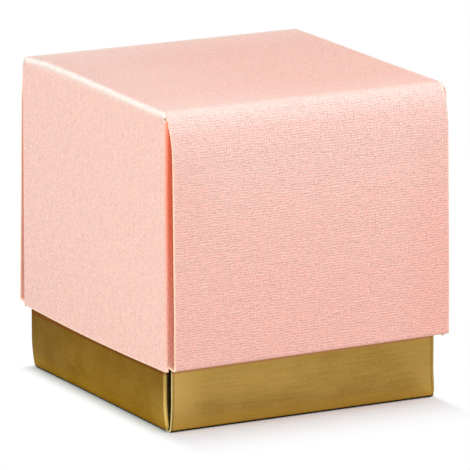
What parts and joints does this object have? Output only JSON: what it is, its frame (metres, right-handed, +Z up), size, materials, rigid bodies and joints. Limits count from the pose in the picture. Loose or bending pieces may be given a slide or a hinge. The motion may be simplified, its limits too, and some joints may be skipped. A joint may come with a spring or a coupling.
{
  "type": "favor box",
  "caption": "Small two-piece favor box: a deep folded card lid, soft-folded along the front and back of its top, over a folded metallised card base.",
  "frame": {"origin": "middle of the base's underside, on the surface that the box stands on", "axes": "+Z up, -Y towards the front double wall, +X towards the right end wall"},
  "size_m": [0.06, 0.0644, 0.0615],
  "materials": {
    "lid_card": "dyed card with a fine linen embossing, matte to satin",
    "base_card": "gold metallised card, satin metallic"
  },
  "bodies": {
    "base": {"base_floor_panel": "base_card", "base_left_end_wall": "base_card", "base_right_end_wall": "base_card", "base_left_front_dust_flap": "base_card", "base_left_back_dust_flap": "base_card", "base_right_front_dust_flap": "base_card", "base_right_back_dust_flap": "base_card", "base_front_outer_wall": "base_card", "base_back_outer_wall": "base_card", "base_front_rim_fold": "base_card", "base_back_rim_fold": "base_card"},
    "lid": {"lid_top_panel": "lid_card", "lid_left_end_wall": "lid_card", "lid_right_end_wall": "lid_card", "lid_left_front_dust_flap": "lid_card", "lid_left_back_dust_flap": "lid_card", "lid_right_front_dust_flap": "lid_card", "lid_right_back_dust_flap": "lid_card", "lid_front_outer_wall": "lid_card", "lid_back_outer_wall": "lid_card", "lid_front_rim_fold": "lid_card", "lid_back_rim_fold": "lid_card", "lid_front_inner_wall": "lid_card", "lid_back_inner_wall": "lid_card"},
    "front_inner_wall": {"base_front_inner_wall": "base_card"},
    "back_inner_wall": {"base_back_inner_wall": "base_card"}
  },
  "joints": [
    {"name": "lid_lift", "type": "slide", "parent": "base", "child": "lid", "axis": [0, 0, 1], "range_m": [0, 0.06]},
    {"name": "front_inner_wall_fold", "type": "hinge", "parent": "base", "child": "front_inner_wall", "pos_m": [0, -0.02706, 0.0601], "axis": [1, 0, 0], "range_deg": [0, 25]},
    {"name": "back_inner_wall_fold", "type": "hinge", "parent": "base", "child": "back_inner_wall", "pos_m": [0, 0.02706, 0.0601], "axis": [-1, 0, 0], "range_deg": [0, 25]}
  ]
}
